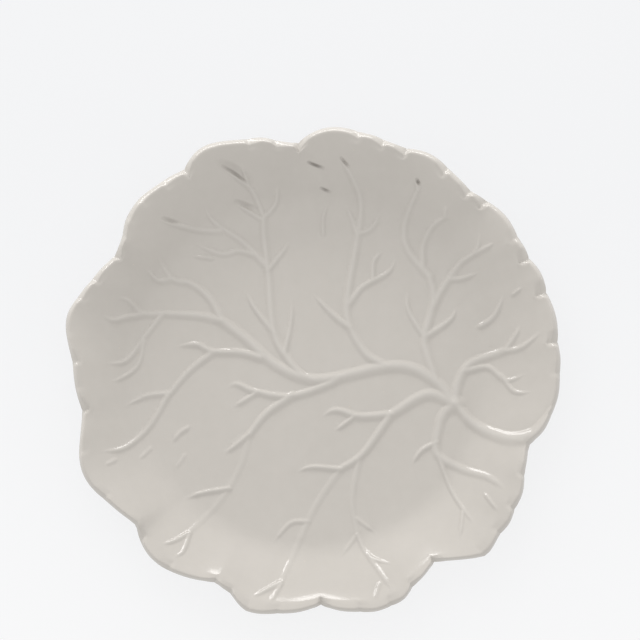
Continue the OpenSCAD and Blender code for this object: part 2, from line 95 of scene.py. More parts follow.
# Each vein: its size at the start and at the tip as shares of a main vein's, then the pixels of
# the photograph that its crest passes
VEIN_ROWS = [
    (1.00, 0.85, [(455, 402), (436, 380), (410, 366), (380, 366), (318, 378), (278, 365),
                  (245, 337), (221, 319)]),
    (0.80, 0.45, [(221, 319), (209, 297), (190, 282), (171, 277), (156, 254)]),
    (0.60, 0.40, [(171, 277), (157, 279), (145, 267)]),
    (0.80, 0.45, [(221, 319), (198, 314), (160, 312), (142, 312), (127, 299), (116, 297)]),
    (0.60, 0.40, [(142, 313), (126, 316), (113, 319), (101, 314)]),
    (0.60, 0.45, [(160, 314), (144, 335), (126, 359), (105, 363)]),
    (0.50, 0.40, [(143, 340), (137, 364), (121, 377), (110, 381)]),
    (0.75, 0.45, [(260, 356), (240, 351), (212, 350), (195, 343), (175, 346)]),
    (0.65, 0.55, [(212, 351), (188, 370), (166, 396)]),
    (0.55, 0.40, [(169, 392), (145, 395), (125, 405)]),
    (0.60, 0.45, [(166, 396), (148, 426), (125, 446), (102, 450)]),
    (0.45, 0.35, [(116, 458), (106, 463)]),
    (0.45, 0.35, [(151, 446), (139, 458)]),
    (0.50, 0.35, [(189, 425), (178, 433), (171, 443)]),
    (0.40, 0.35, [(185, 453), (175, 468)]),
    (0.80, 0.75, [(437, 381), (427, 352), (425, 335), (434, 298), (430, 275)]),
    (0.80, 0.45, [(430, 275), (408, 247), (405, 222), (418, 189), (425, 181)]),
    (0.45, 0.35, [(418, 189), (416, 179)]),
    (0.65, 0.40, [(423, 266), (424, 242), (436, 222), (455, 214)]),
    (0.45, 0.35, [(445, 216), (446, 206)]),
    (0.75, 0.40, [(434, 304), (443, 287), (460, 263), (476, 250), (481, 229)]),
    (0.50, 0.40, [(476, 252), (494, 242)]),
    (0.55, 0.40, [(450, 278), (463, 277), (478, 272)]),
    (0.65, 0.40, [(428, 334), (450, 319), (458, 306)]),
    (0.65, 0.40, [(425, 336), (409, 309), (408, 288)]),
    (0.75, 0.70, [(388, 365), (366, 352), (348, 320), (348, 290), (355, 250)]),
    (0.70, 0.45, [(355, 250), (361, 205), (353, 178), (340, 157)]),
    (0.55, 0.40, [(359, 232), (372, 226), (381, 211)]),
    (0.55, 0.40, [(357, 234), (352, 217), (345, 203)]),
    (0.65, 0.40, [(349, 302), (363, 285), (388, 271), (397, 257)]),
    (0.55, 0.40, [(373, 279), (374, 260), (384, 248)]),
    (0.70, 0.40, [(350, 326), (334, 314), (312, 292)]),
    (0.70, 0.70, [(314, 379), (301, 373), (289, 360), (273, 330), (267, 268)]),
    (0.70, 0.60, [(267, 268), (263, 232), (263, 214)]),
    (0.55, 0.40, [(263, 216), (275, 202), (277, 183)]),
    (0.55, 0.40, [(263, 214), (252, 190), (240, 179), (224, 169)]),
    (0.40, 0.35, [(248, 184), (245, 175), (241, 166)]),
    (0.50, 0.40, [(262, 218), (236, 202)]),
    (0.75, 0.40, [(266, 264), (242, 240), (213, 220), (203, 203)]),
    (0.60, 0.40, [(219, 229), (195, 228), (158, 219)]),
    (0.60, 0.40, [(254, 253), (238, 249), (220, 252), (192, 241)]),
    (0.45, 0.35, [(214, 257), (190, 254)]),
    (0.55, 0.40, [(268, 268), (290, 240)]),
    (0.60, 0.40, [(274, 332), (255, 308), (244, 288)]),
    (0.55, 0.40, [(284, 352), (290, 324), (292, 297)]),
    (0.45, 0.35, [(323, 236), (323, 216), (328, 200)]),
    (0.90, 0.70, [(455, 402), (458, 382), (471, 362), (505, 349)]),
    (0.60, 0.40, [(505, 349), (516, 333), (520, 324)]),
    (0.60, 0.40, [(505, 350), (521, 346), (541, 331)]),
    (0.65, 0.40, [(464, 370), (488, 366), (506, 379), (526, 373)]),
    (0.50, 0.40, [(501, 374), (514, 390), (531, 391)]),
    (0.60, 0.40, [(477, 327), (494, 315), (505, 292)]),
    (0.40, 0.35, [(512, 294), (521, 287)]),
    (0.75, 0.50, [(342, 375), (325, 384), (289, 395), (254, 390), (236, 383), (225, 388)]),
    (0.50, 0.40, [(257, 391), (233, 406)]),
    (0.75, 0.60, [(292, 394), (266, 412), (249, 433)]),
    (0.55, 0.40, [(249, 433), (224, 453)]),
    (0.60, 0.50, [(249, 433), (240, 465), (220, 499), (188, 531)]),
    (0.50, 0.40, [(229, 487), (200, 492), (184, 498)]),
    (0.50, 0.40, [(188, 531), (175, 538), (163, 542)]),
    (0.45, 0.35, [(190, 531), (184, 548), (175, 555)]),
    (1.00, 0.80, [(455, 402), (427, 393), (391, 413)]),
    (0.75, 0.50, [(391, 413), (360, 415), (336, 409), (321, 416)]),
    (0.50, 0.40, [(356, 414), (335, 430)]),
    (0.75, 0.60, [(391, 413), (363, 452), (340, 468)]),
    (0.55, 0.40, [(340, 468), (312, 466), (297, 471)]),
    (0.65, 0.50, [(340, 468), (318, 500), (304, 528), (281, 579)]),
    (0.50, 0.40, [(308, 520), (290, 522), (273, 541)]),
    (0.50, 0.40, [(281, 579), (252, 594)]),
    (0.45, 0.35, [(281, 581), (270, 600)]),
    (0.60, 0.50, [(359, 456), (352, 498), (357, 533)]),
    (0.45, 0.35, [(357, 533), (340, 555)]),
    (0.45, 0.35, [(356, 517), (375, 531)]),
    (0.50, 0.40, [(357, 533), (369, 554), (392, 562)]),
    (0.50, 0.40, [(367, 552), (395, 591)]),
    (0.40, 0.35, [(379, 579), (374, 597)]),
    (0.90, 0.60, [(455, 403), (445, 411), (439, 424), (437, 452), (461, 467), (487, 475),
                  (504, 487)]),
    (0.55, 0.40, [(437, 441), (421, 450), (412, 464)]),
    (0.40, 0.35, [(484, 492), (497, 509)]),
    (0.50, 0.40, [(438, 454), (453, 492), (474, 523)]),
    (0.40, 0.35, [(462, 510), (459, 536)])]
# The stalk, from where the main veins meet to the lip, given as a vein is
STALK_ROW = (0.85, 1.35, [(455, 402), (471, 420), (489, 430.5), (510, 436), (531, 432.5),
                          (546, 420), (553, 411)])
# Veins that stand lower or higher than their size asks: their first and last pixels, and the factor
VEIN_LEVELS = {
    ((249, 433), (188, 531)): 0.35, ((340, 468), (281, 579)): 0.42, ((359, 456), (357, 533)): 0.55,
    ((116, 458), (106, 463)): 0.65, ((151, 446), (139, 458)): 0.60, ((185, 453), (175, 468)): 0.50,
    ((455, 403), (504, 487)): 0.85, ((308, 520), (273, 541)): 0.70, ((357, 533), (340, 555)): 0.55,
    ((356, 517), (375, 531)): 0.60, ((260, 356), (175, 346)): 1.18, ((477, 327), (505, 292)): 1.15}
# Where the main veins and the stalk meet
HUB = (455, 402)

# Creases and slits pressed into the clay: width and depth in metres at their deepest, how dark
# the shade painted inside them is as a share, then the pixels that they pass
CREASE_ROWS = [
    (0.0064, 0.0003, 0.0, [(301, 150), (311, 160), (321, 172), (326, 190), (328, 205), (326, 222)]),
    (0.0018, 0.0008, 0.65, [(308, 160), (315, 163), (323, 166)]),
    (0.0018, 0.0007, 0.50, [(321, 186), (330, 190)]),
    (0.0060, 0.0005, 0.1, [(221, 162), (233, 167), (247, 178)]),
    (0.0024, 0.0009, 0.38, [(222, 164), (234, 171), (246, 181)]),
    (0.0018, 0.0008, 0.32, [(341, 156), (349, 165)]),
    (0.0022, 0.0008, 0.50, [(417, 178), (420, 183)]),
    (0.0028, 0.0007, 0.16, [(163, 217), (178, 222)]),
    (0.0034, 0.0007, 0.14, [(236, 200), (255, 207)])]

# The middles of the plate and of its well, and where the leaf turns up most under its lip
PLATE_PIXEL = (315, 370)
WELL_PIXEL = (309, 376)
UPTURN_PIXEL = (318, 602)
# A ridge's crest lies this many pixels below its row in the photograph
CREST_PIXELS = 1.0
# How far the photographed plate leans back, and the side of the square photograph in pixels
LEAN = math.radians(9)
PHOTO_SIDE = 640

# Spokes of the leaf's mesh for each row of the lip, and over how many a nick's corner softens
ROW_SPOKES = 5
KEEN_SPOKES = 2
SPOKES = ROW_SPOKES * len(LIP_ROWS)

# Bands of the way from the well's edge to the lip: where each starts and how wide it is, in shares
UPTURN_BAND = (0.76, 0.16)
NICK_FALL = (0.88, 0.10)
NICK_EDGE = (0.85, 0.15)
# The flat of the well and the bend round it, as shares of the well's radius
WELL_FLAT, WELL_BEND = 0.72, 0.28
# How far along the lip the upturn reaches, in radians
UPTURN_SPREAD = 0.4
# Exponents of the slope's flare, of the valleys along the slope and of the lip's round
FLARE_POWER = 1.15
VALLEY_POWER = 1.5
LIP_POWER = 1.45
# Past this height on the plan lie the drum's flat ends
FLAT_END = 0.999

# Ridges are narrower and steeper towards this side, up and left, by its length as a share
STEEPER_SIDE = (-0.10, 0.20)
# Metres between a route's points, and how close to another vein a vein's end joins it
ROUTE_STEP = 0.0006
JOIN_REACH = 0.0022
# Over how many of its points a loose end fades, and at most over what share of the vein
START_FADE = (5, 0.2)
TIP_FADE = (16, 0.4)
# Exponents of a vein's size in its width and height, and the share of its width at a faded end
WIDTH_POWER, HEIGHT_POWER, END_WIDTH = 1.1, 0.45, 0.45
# Where in a half turn a crease's swell starts, and how much of it the crease passes
CREASE_SWELL = (0.12, 0.80)
# How a ridge's section rounds, how sharply ridges merge, and how high one pools glaze in full
RIDGE_POWER, MERGE_POWER, FULL_HEIGHT = 1.4, 4, 0.0012
# Where glaze pools, as shares of a ridge's half width, and how far from the crest the glaze is thin and
# painted lighter as a highlight
POOL_AT, POOL_SPREAD, LIGHTER_CREST_REACH = 1.05, 0.22, 0.7

# The mesh is cut at most this many times, and is fine this far beside a ridge, in metres
CUT_ROUNDS = 5
RIDGE_MARGIN = 0.0003
# What gets a finer mesh: creases whose painted shade is darker than this, the plan past this
# radius, and ridges where the plan is higher than this
DARK_CREASE = 0.12
LIP_REGION = 1.86
VEIN_REGION = 0.5
# How far off ridges and creases are looked for, as shares of the widest one's half width
MESH_SEARCH, LOOK_SEARCH = 1.5, 1.35
# Heights on the plan over which the veins fade round the lip: the lowest, and their span
VEIN_WRAP = (-0.6, 1.6)
# How quickly the lip grows lighter towards its outermost line: thin glaze, and a painted highlight
# standing in for the light on the lip's roll
LIP_THIN_AND_HIGHLIGHT = 1.6

# Shares of the way down each side of the foot, and degrees round each edge of its rest
FOOT_SHARES = (0.08, 0.2, 0.35, 0.55, 0.8)
FOOT_DEGREES = (0, 25, 50, 70, 90)
# The curve of a side, its reach and its fillet's as shares of the flare, and metres in the wall
FOOT_POWER, FOOT_REACH, FILLET_REACH, FOOT_ROOT = 2.2, 1.5, 1.7, 0.0004
FOOT_STEPS = 240
# Heights over the table between which the wiped foot's glaze starts, and how ragged that is
GLAZE_START, RAGGED = (0.0009, 0.0013), 0.0012
# Where the floor's lighter near colour, which is painted light, turns into its far one, in metres from
# the plate's middle
FLOOR_TURN = (-0.16, 0.12)


def metres(name, default, description):
    return FloatProperty(
        name=name, description=description, default=default, unit="LENGTH", precision=5, min=0.0)


def tint(name, default, description):
    return FloatVectorProperty(
        name=name, description=description, default=default, subtype="COLOR", size=3,
        min=0.0, max=1.0)


def portion(name, default, description):
    return FloatProperty(
        name=name, description=description, default=default, subtype="FACTOR", min=0.0, max=1.0)


class LeafSizes(bpy.types.PropertyGroup):
    plate_width: metres("Plate Width", CAD_WIDTH, "Width of the leaf from lip to lip")
    lip_height: metres("Lip Height", 0.024, "Height of the lip above the table")
    wall: metres("Wall", 0.0045, "Thickness of the wall, measured upright")
    well_radius: metres("Well Radius", 0.073, "Radius of the round well")
    well_sag: metres("Well Sag", 0.0008, "How far the flat of the well lies below its edge")
    turn_width: metres("Turn Width", 0.012, "Width of the curve that joins well and slope")
    lobe_dip: metres("Lobe Dip", 0.0030, "How far the lip dips between two lobes")
    valley_width: metres("Valley Width", 0.015, "Width of the valley between two lobes")
    lip_roll: metres("Lip Roll", 0.0017, "How far in from its edge the lip starts to roll over")
    roll_spread: portion("Roll Spread", 0.4, "How much fuller the lip is at the back")
    upturn: metres("Upturn", 0.0009, "How much of the rise lies in a steeper band under the lip")
    nick_depth: metres("Nick Depth", 0.0018, "Depth of the deepest nick between two scallops")
    nick_width: metres("Nick Width", 0.0015, "How far that nick reaches in over the lip")
    nick_ramp: metres("Nick Ramp", 0.0055, "Length of a nick's long side")
    nick_cliff: metres("Nick Cliff", 0.0021, "Length of its short side, which faces the light")


class FootSizes(bpy.types.PropertyGroup):
    foot_radius: metres("Foot Radius", 0.062, "Outer radius of the foot ring where it rests")
    foot_width: metres("Foot Width", 0.0032, "Width of the ring where it rests")
    foot_height: metres("Foot Height", 0.0036, "Height of the foot ring")
    foot_flare: metres("Foot Flare", 0.0016, "Spread of each side of the ring towards the wall")


class VeinSizes(bpy.types.PropertyGroup):
    vein_width: metres("Vein Width", 0.0066, "Width of a main vein where it leaves the hub")
    vein_height: metres("Vein Height", 0.00088, "Height of a main vein above the leaf")
    hub_width: metres("Hub Width", 0.0098, "Width of the swelling where the main veins meet")
    hub_height: metres("Hub Height", 0.00105, "Height of that swelling above the leaf")
    stalk_width: metres("Stalk Width", 0.0062, "Width of the stalk")
    stalk_height: metres("Stalk Height", 0.00102, "Height of the stalk above the leaf")
    fine_step: metres("Fine Step", 0.00075, "Longest mesh edge beside a vein")
    lip_step: metres("Lip Step", 0.00100, "Longest mesh edge along the lip")


class GlazeLook(bpy.types.PropertyGroup):
    glaze: tint("Glaze", (0.600, 0.566, 0.522), "Colour of the glaze where it lies even")
    pooled: tint("Pooled Glaze", (0.520, 0.490, 0.445), "Colour where the glaze runs together")
    # Thin glaze and also a painted highlight: the lighter colour on crests and all round the lip
    thin_and_highlight: tint("Thin Glaze", (0.700, 0.672, 0.630), "Colour where the glaze runs thin on a crest")
    # Painted shade: the dark colour put down in the slits and creases
    slit_shade: tint("Slit", (0.110, 0.090, 0.075), "Colour down in the slits")
    clay: tint("Clay", (0.640, 0.570, 0.470), "Colour of the unglazed foot")
    stain: tint("Stain", (0.420, 0.340, 0.260), "Colour of the stains on the unglazed foot")
    blending: portion("Blending", 0.20, "How much the pooled colour shows all over")
    clouding: portion("Clouding", 0.5, "How much the glaze changes in broad clouds")
    mottling: portion("Mottling", 0.4, "How much the glaze changes in small spots")
    pooling: portion("Pooling", 0.25, "How much the pooled colour shows beside a vein")
    # How strongly crests and the lip are painted lighter, for thin glaze and as a highlight
    thinning_and_highlight: portion("Thinning", 0.35, "How much the thin colour shows on a crest")
    pitting: portion("Pitting", 0.35, "How much clay shows in a pinhole")
    roughness: portion("Roughness", 0.12, "Roughness of the glaze where it lies even")


class StudioLook(bpy.types.PropertyGroup):
    floor: tint("Floor", (0.900, 0.905, 0.916), "Colour of the floor behind the plate")
    # Painted light: the floor before the plate is lighter than behind it
    painted_light_near_floor: tint("Near Floor", (0.950, 0.952, 0.958), "Colour of the floor before the plate")
    key_power: FloatProperty(
        name="Key Power", description="Power of the long soft lamp behind", default=15.4,
        unit="POWER", min=0.0)
    fill_power: FloatProperty(
        name="Fill Power", description="Power of the broad lamp high behind", default=3.0,
        unit="POWER", min=0.0)
    sky: FloatProperty(
        name="Sky", description="Strength of the light from all round", default=0.79,
        subtype="FACTOR", min=0.0, max=2.0)
    glow: portion("Glow", 0.86, "How much of the floor shows its plain colour without shadow")
    lens: FloatProperty(
        name="Lens", description="Focal length of the camera in millimetres", default=340.0,
        min=20.0, max=400.0)


class PlateSettings(bpy.types.PropertyGroup):
    leaf: PointerProperty(type=LeafSizes, name="Leaf", description="Sizes of the leaf")
    foot: PointerProperty(type=FootSizes, name="Foot", description="Sizes of the foot ring")
    veins: PointerProperty(type=VeinSizes, name="Veins", description="Sizes of the veins")
    glaze: PointerProperty(type=GlazeLook, name="Glaze", description="Colours and finish")
    studio: PointerProperty(type=StudioLook, name="Studio", description="Floor, lamps, camera")


def smooth(share):
    """A share from 0 to 1 that starts and ends gently."""
    share = min(max(share, 0.0), 1.0)
    return share * share * (3 - 2 * share)


def ramp(value, start, width):
    """How far a value is through a band, from 0 to 1."""
    return smooth((value - start) / width)


def between(turn, other):
    """The angle from one bearing to another, from minus half a turn to half a turn."""
    return (turn - other + 3 * math.pi) % (2 * math.pi) - math.pi


def flat(x, y):
    """A pixel of the leaning plate's lip, laid flat and still in pixels."""
    return Vector((x - PLATE_PIXEL[0], (PLATE_PIXEL[1] - y) / math.cos(LEAN)))


def row_at(index):
    """The lip's row before a spoke's number, and the share of the way to the next row."""
    row, past = divmod(index % SPOKES, ROW_SPOKES)
    return int(row), past / ROW_SPOKES


def bowed(index):
    """The lip at a spoke's number, still in pixels."""
    row, share = row_at(index)
    x, y, bow = LIP_ROWS[row][:3]
    a, b = flat(x, y), flat(*LIP_ROWS[(row + 1) % len(LIP_ROWS)][:2])
    return a + (b - a) * share + Vector((a.y - b.y, b.x - a.x)) * bow * 4 * share * (1 - share)


def rim_at(index, reach=1.1):
    """The lip at a spoke's number, softer between scallops that have no deep nick."""
    near = round(index / ROW_SPOKES)
    gap = abs(index - ROW_SPOKES * near)
    keen = LIP_ROWS[near % len(LIP_ROWS)][3] * max(0.0, 1 - gap / KEEN_SPOKES)
    soft = (bowed(index - reach) + 2 * bowed(index) + bowed(index + reach)) / 4
    return soft + (bowed(index) - soft) * keen


def curve_through(points, step):
    """A smooth curve through points, cut into steps."""
    ends = [2 * points[0] - points[1], *points, 2 * points[-1] - points[-2]]
    cut = []
    for a, b, c, d in zip(ends, ends[1:], ends[2:], ends[3:]):
        count = max(1, math.ceil((c - b).length / step))
        for k in range(count):
            t = k / count
            cut.append((2 * b + (c - a) * t + (2 * a - 5 * b + 4 * c - d) * t * t
                        + (3 * b - a - 3 * c + d) * t * t * t) / 2)
    return [*cut, points[-1]]


class Leaf:
    """The leaf's face and underside without their veins, in metres in the solids' frame."""

    def __init__(self, sizes, foot):
        self.sizes = sizes
        self.well_z = foot.foot_height + sizes.wall
        self.rise = sizes.lip_height - self.well_z
        self.lip_r = sizes.wall / 2
        rim = [rim_at(i) for i in range(SPOKES)]
        low = Vector((min(p.x for p in rim), min(p.y for p in rim)))
        high = Vector((max(p.x for p in rim), max(p.y for p in rim)))
        self.middle = (low + high) / 2
        self.pixel = sizes.plate_width / (high.x - low.x)
        self.well = self.below_lip(*WELL_PIXEL, self.well_z)
        spots = [(p - self.middle) * self.pixel - self.well for p in rim]
        self.soft = self.averaged([(math.atan2(p.y, p.x), p.length) for p in spots])
        self.valleys = []
        for x, y, deep in VALLEY_ROWS:
            p = self.on_lip(x, y) - self.well
            self.valleys.append((math.atan2(p.y, p.x), deep))
        p = self.on_lip(*UPTURN_PIXEL) - self.well
        self.upturn_at = math.atan2(p.y, p.x)
        self.turn_share = sizes.turn_width / (sizes.plate_width / 2 - sizes.well_radius)

    def on_lip(self, x, y):
        """A pixel at the height of the lip's outermost line, in metres."""
        return (flat(x, y) - self.middle) * self.pixel

    def below_lip(self, x, y, z):
        """Places below the lip's outermost line show lower, because the plate leans back."""
        drop = self.sizes.lip_height - self.lip_r - z
        return self.on_lip(x, y) + Vector((0, drop * math.tan(LEAN)))

    def averaged(self, spots, window=math.radians(11)):
        """The lobes without their scallops: the lip's reach for each degree of the bearing."""
        table = []
        for degree in range(360):
            total = weight = 0.0
            for turn, reach in spots:
                pull = math.exp(-(between(turn, math.radians(degree)) / window) ** 2)
                total, weight = total + pull * reach, weight + pull
            table.append(total / weight)
        return table

    def soft_reach(self, turn):
        """How far the lobes reach at a bearing, without their scallops."""
        place = math.degrees(turn) % 360
        k, share = int(place) % 360, place - int(place)
        return self.soft[k] * (1 - share) + self.soft[(k + 1) % 360] * share

    def nick(self, index):
        """How deep the nearest nick is at a spoke's number, as a share: it falls slowly on its
        upper side and rises fast on its lower one."""
        row, share = row_at(index)
        here, after = LIP_ROWS[row], LIP_ROWS[(row + 1) % len(LIP_ROWS)]
        long = (flat(*after[:2]) - flat(*here[:2])).length * self.pixel
        past = self.sizes.nick_cliff if here[0] > PLATE_PIXEL[0] else self.sizes.nick_ramp
        left = self.sizes.nick_ramp if after[0] > PLATE_PIXEL[0] else self.sizes.nick_cliff
        near = here[3] * max(0.0, 1 - share * long / past)
        far = after[3] * max(0.0, 1 - (1 - share) * long / left)
        return max(near, far)

    def valley(self, turn):
        """How deep the nearest valley is at a bearing, as a share of the lobe dip."""
        deepest = 0.0
        for at, deep in self.valleys:
            side = abs(between(turn, at)) * self.sizes.plate_width / self.sizes.valley_width
            deepest = max(deepest, deep / (1 + side * side))
        return deepest

    def slope(self, share, turn_up):
        """Share of the rise: a curve out of the well, a flare, and an upturn under the lip."""
        turn, lift = self.turn_share, turn_up * self.sizes.upturn / self.rise
        bend = share * share / (2 * turn) if share < turn else share - turn / 2
        flare = 1 - max(0.0, 1 - bend / (1 - turn / 2)) ** FLARE_POWER
        return flare * (1 - lift) + lift * ramp(share, *UPTURN_BAND)

    def height(self, turn, share, index):
        """The face's height on the slope, at a bearing and a share of the way to the lip."""
        turn_up = math.exp(-(between(turn, self.upturn_at) / UPTURN_SPREAD) ** 2)
        return (self.well_z + self.rise * self.slope(share, turn_up)
                - self.sizes.lobe_dip * share ** VALLEY_POWER * self.valley(turn)
                - self.sizes.nick_depth * self.nick(index) * ramp(share, *NICK_FALL))

    def place(self, plan):
        """From the plan, a drum two units in radius, to the leaf. The drum's top is the face,
        its side the lip and its bottom the underside."""
        index = (math.atan2(plan.y, plan.x) / (2 * math.pi) * SPOKES) % SPOKES
        spot = (rim_at(index) - self.middle) * self.pixel - self.well
        turn, reach = math.atan2(spot.y, spot.x), spot.length
        out = math.hypot(plan.x, plan.y)
        well_r, under = self.sizes.well_radius, 0.0 if plan.z > 0 else self.sizes.wall
        roll = self.sizes.lip_roll * (1 + self.sizes.roll_spread * math.sin(turn))
        if abs(plan.z) < FLAT_END:
            tilt = plan.z * math.pi / 2
            up, nick = math.sin(tilt), self.nick(index)
            lift = math.copysign(abs(up) ** LIP_POWER, up)
            r = (reach + roll * (math.cos(tilt) ** LIP_POWER - 1)
                 - self.sizes.nick_width * nick * max(up, 0.0))
            z = (self.height(turn, 1.0, index) + self.lip_r * (lift - 1)
                 + self.sizes.nick_depth * nick * (1 - max(up, 0.0)))
        elif out < 1:
            r = out * well_r
            sag = 0.0 if under else 1 - max(0.0, (out - WELL_FLAT) / WELL_BEND) ** 2
            z = self.well_z - self.sizes.well_sag * sag - under
        else:
            share = min(out - 1, 1.0)
            blend = share ** 2
            edge = reach - roll
            if not under:
                edge -= self.sizes.nick_width * self.nick(index) * ramp(share, *NICK_EDGE)
            end = self.soft_reach(turn) * (1 - blend) + edge * blend
            r = well_r + share * (end - well_r)
            z = self.height(turn, share, index) - under
            if under:
                z += self.sizes.nick_depth * self.nick(index) * ramp(share, *NICK_FALL)
        return Vector((self.well.x + r * math.cos(turn), self.well.y + r * math.sin(turn), z))


class Ridges:
    """Long low forms that lie on the leaf, such as veins or, with a depth, creases."""

    def __init__(self):
        self.nodes, self.widest = [], 0.0

    def add(self, path, widths, heights, run):
        """Takes in one run: its points, and the width and height at each."""
        first = len(self.nodes)
        for p, w, h in zip(path, widths, heights):
            self.nodes.append((p.x, p.y, w / 2, h, run, first, first + len(path) - 1))
            self.widest = max(self.widest, w / 2)

    def ready(self):
        """Sorts the points for searches, once every run is in."""
        self.tree = KDTree(len(self.nodes))
        for k, node in enumerate(self.nodes):
            self.tree.insert((node[0], node[1], 0), k)
        self.tree.balance()

    def near(self, x, y, margin=1.25, slack=0.0005):
        """For each run within a margin of the widest half width and a little slack: how far off
        it lies as a share of its half width, its height, that half width, and its number."""
        best = {}
        for _, k, gap in self.tree.find_range((x, y, 0), self.widest * margin + slack):
            run = self.nodes[k][4]
            if run not in best or gap < best[run][0]:
                best[run] = (gap, k)
        found = []
        for _, k in best.values():
            first, last = self.nodes[k][5:]
            pick = None
            for a, b in ((max(k - 1, first), k), (k, min(k + 1, last))):
                ax, ay, aw, ah = self.nodes[a][:4]
                bx, by, bw, bh = self.nodes[b][:4]
                dx, dy = bx - ax, by - ay
                long = dx * dx + dy * dy
                t = min(max(((x - ax) * dx + (y - ay) * dy) / long, 0.0), 1.0) if long else 0.0
                ox, oy = x - ax - dx * t, y - ay - dy * t
                gap = math.hypot(ox, oy)
                if pick is None or gap < pick[0]:
                    steep = STEEPER_SIDE[0] * ox + STEEPER_SIDE[1] * oy
                    half = (aw + (bw - aw) * t) * (1 - steep / max(gap, 1e-9))
                    pick = (gap, half, ah + (bh - ah) * t)
            found.append((pick[0] / pick[1], pick[2], pick[1], self.nodes[k][4]))
        return found


def plain_skin(plan, leaf):
    """The leaf without its veins, for rays to be cast at."""
    plain = plan.copy()
    for vert in plain.verts:
        vert.co = leaf.place(vert.co)
    skin = BVHTree.FromBMesh(plain)
    plain.free()
    return skin


def on_leaf(leaf, skin, x, y):
    """Where a crest at a pixel of the photograph lies, seen from straight above."""
    spot = leaf.on_lip(x, y + CREST_PIXELS)
    hit = skin.ray_cast(Vector((spot.x, spot.y, 1.0)), Vector((0, 0, -1)))[0]
    return leaf.below_lip(x, y + CREST_PIXELS, hit.z if hit else leaf.sizes.lip_height)


def route_on(leaf, skin, pixels):
    """The smooth route of a vein or crease, seen from straight above."""
    return curve_through([on_leaf(leaf, skin, *pixel) for pixel in pixels], ROUTE_STEP)


def vein_ridges(leaf, skin, sizes):
    """The veins, the stalk and the hub as ridges on the plain leaf."""
    rows = (*VEIN_ROWS, STALK_ROW)
    routes = [route_on(leaf, skin, pixels) for _, _, pixels in rows]
    grown = KDTree(sum(len(path) for path in routes))
    for run, path in enumerate(routes):
        for k, p in enumerate(path):
            grown.insert((p.x, p.y, 0), 2 * run + (k == 0))
    grown.balance()

    def free(p, run, starts_only):
        """Whether a vein ends here with no other vein, or no other's start, to run on into."""
        near = [mark for _, mark, _ in grown.find_range((p.x, p.y, 0), JOIN_REACH)]
        return not any(mark // 2 != run and (mark % 2 or not starts_only) for mark in near)

    ridges = Ridges()
    for run, (path, (start, tip, pixels)) in enumerate(zip(routes, rows)):
        stalk = run == len(VEIN_ROWS)
        wide = sizes.stalk_width if stalk else sizes.vein_width
        high = sizes.stalk_height if stalk else sizes.vein_height
        high *= VEIN_LEVELS.get((pixels[0], pixels[-1]), 1.0)
        last = len(path) - 1
        fade_in = fade_out = 0
        if not stalk and free(path[0], run, False):
            fade_in = min(START_FADE[0], START_FADE[1] * last)
        if not stalk and free(path[-1], run, True):
            fade_out = min(TIP_FADE[0], TIP_FADE[1] * last)
        size = [start + (tip - start) * k / last for k in range(last + 1)]
        ebb = [min(smooth((k + 1) / fade_in) if fade_in else 1.0,
                   smooth((last - k + 1) / fade_out) if fade_out else 1.0)
               for k in range(last + 1)]
        widths = [wide * s ** WIDTH_POWER * (END_WIDTH + (1 - END_WIDTH) * e)
                  for s, e in zip(size, ebb)]
        ridges.add(path, widths, [high * s ** HEIGHT_POWER * e for s, e in zip(size, ebb)], run)
    hub, beside = on_leaf(leaf, skin, *HUB), Vector((0.0001, 0))
    ridges.add([hub, hub + beside], [sizes.hub_width] * 2, [sizes.hub_height] * 2, len(routes))
    ridges.ready()
    return ridges


def pressed_creases(leaf, skin):
    """The creases and slits, deepest near their middle."""
    creases = Ridges()
    for run, (wide, deep, _, pixels) in enumerate(CREASE_ROWS):
        path = route_on(leaf, skin, pixels)
        last = len(path) - 1
        swell = [math.sin(math.pi * (CREASE_SWELL[0] + CREASE_SWELL[1] * k / last))
                 for k in range(last + 1)]
        creases.add(path, [wide] * (last + 1), [deep * s for s in swell], run)
    creases.ready()
    return creases


def ridge_height(found):
    """Height of ridges that run together, how much glaze pools at their feet, and how much their crests
    are painted lighter, for thin glaze and as a painted highlight.
    """
    total = pool = thin_and_highlight = 0.0
    for share, high, *_ in found:
        if share < 1:
            total += (high * (1 - share ** 2) ** RIDGE_POWER) ** MERGE_POWER
        full = min(1.0, high / FULL_HEIGHT)
        pool = max(pool, math.exp(-((share - POOL_AT) / POOL_SPREAD) ** 2) * full)
        thin_and_highlight = max(thin_and_highlight, (1 - smooth(share / LIGHTER_CREST_REACH)) * full)
    return total ** (1 / MERGE_POWER), pool, thin_and_highlight


def crease_depth(found):
    """Depth of the deepest crease, and how dark the shade painted inside it is."""
    deep = dark = 0.0
    for share, depth, _, run in found:
        if share < 1:
            most, black = CREASE_ROWS[run][1:3]
            deep = max(deep, depth * (1 - share * share) ** 2)
            dark = max(dark, black * depth / most * (1 - share * share))
    return deep, dark


def drum_plan():
    """The leaf's plan: a drum spun from its section, ready to be placed."""
    well_steps, slope_steps = 20, 11
    lip_heights = (0.85, 0.7, 0.55, 0.4, 0.2, 0, -0.25, -0.5, -0.75, -1)
    under_radii = (1.85, 1.65, 1.4, 1.2, 1.08, 1, 0.9, 0.78, 0.6, 0.3, 0)
    section = [(k / well_steps, 1) for k in range(well_steps)]
    section += [(1 + k / slope_steps, 1) for k in range(slope_steps + 1)]
    section += [(2, z) for z in lip_heights]
    section += [(out, -1) for out in under_radii]
    bm = bmesh.new()
    verts = [bm.verts.new((out, 0, z)) for out, z in section]
    edges = [bm.edges.new(pair) for pair in zip(verts, verts[1:])]
    bmesh.ops.spin(bm, geom=verts + edges, cent=(0, 0, 0), axis=(0, 0, 1),
                   angle=2 * math.pi, steps=SPOKES, use_merge=True)
    bmesh.ops.remove_doubles(bm, verts=bm.verts, dist=1e-5)
    bmesh.ops.recalc_face_normals(bm, faces=bm.faces)
    return bm


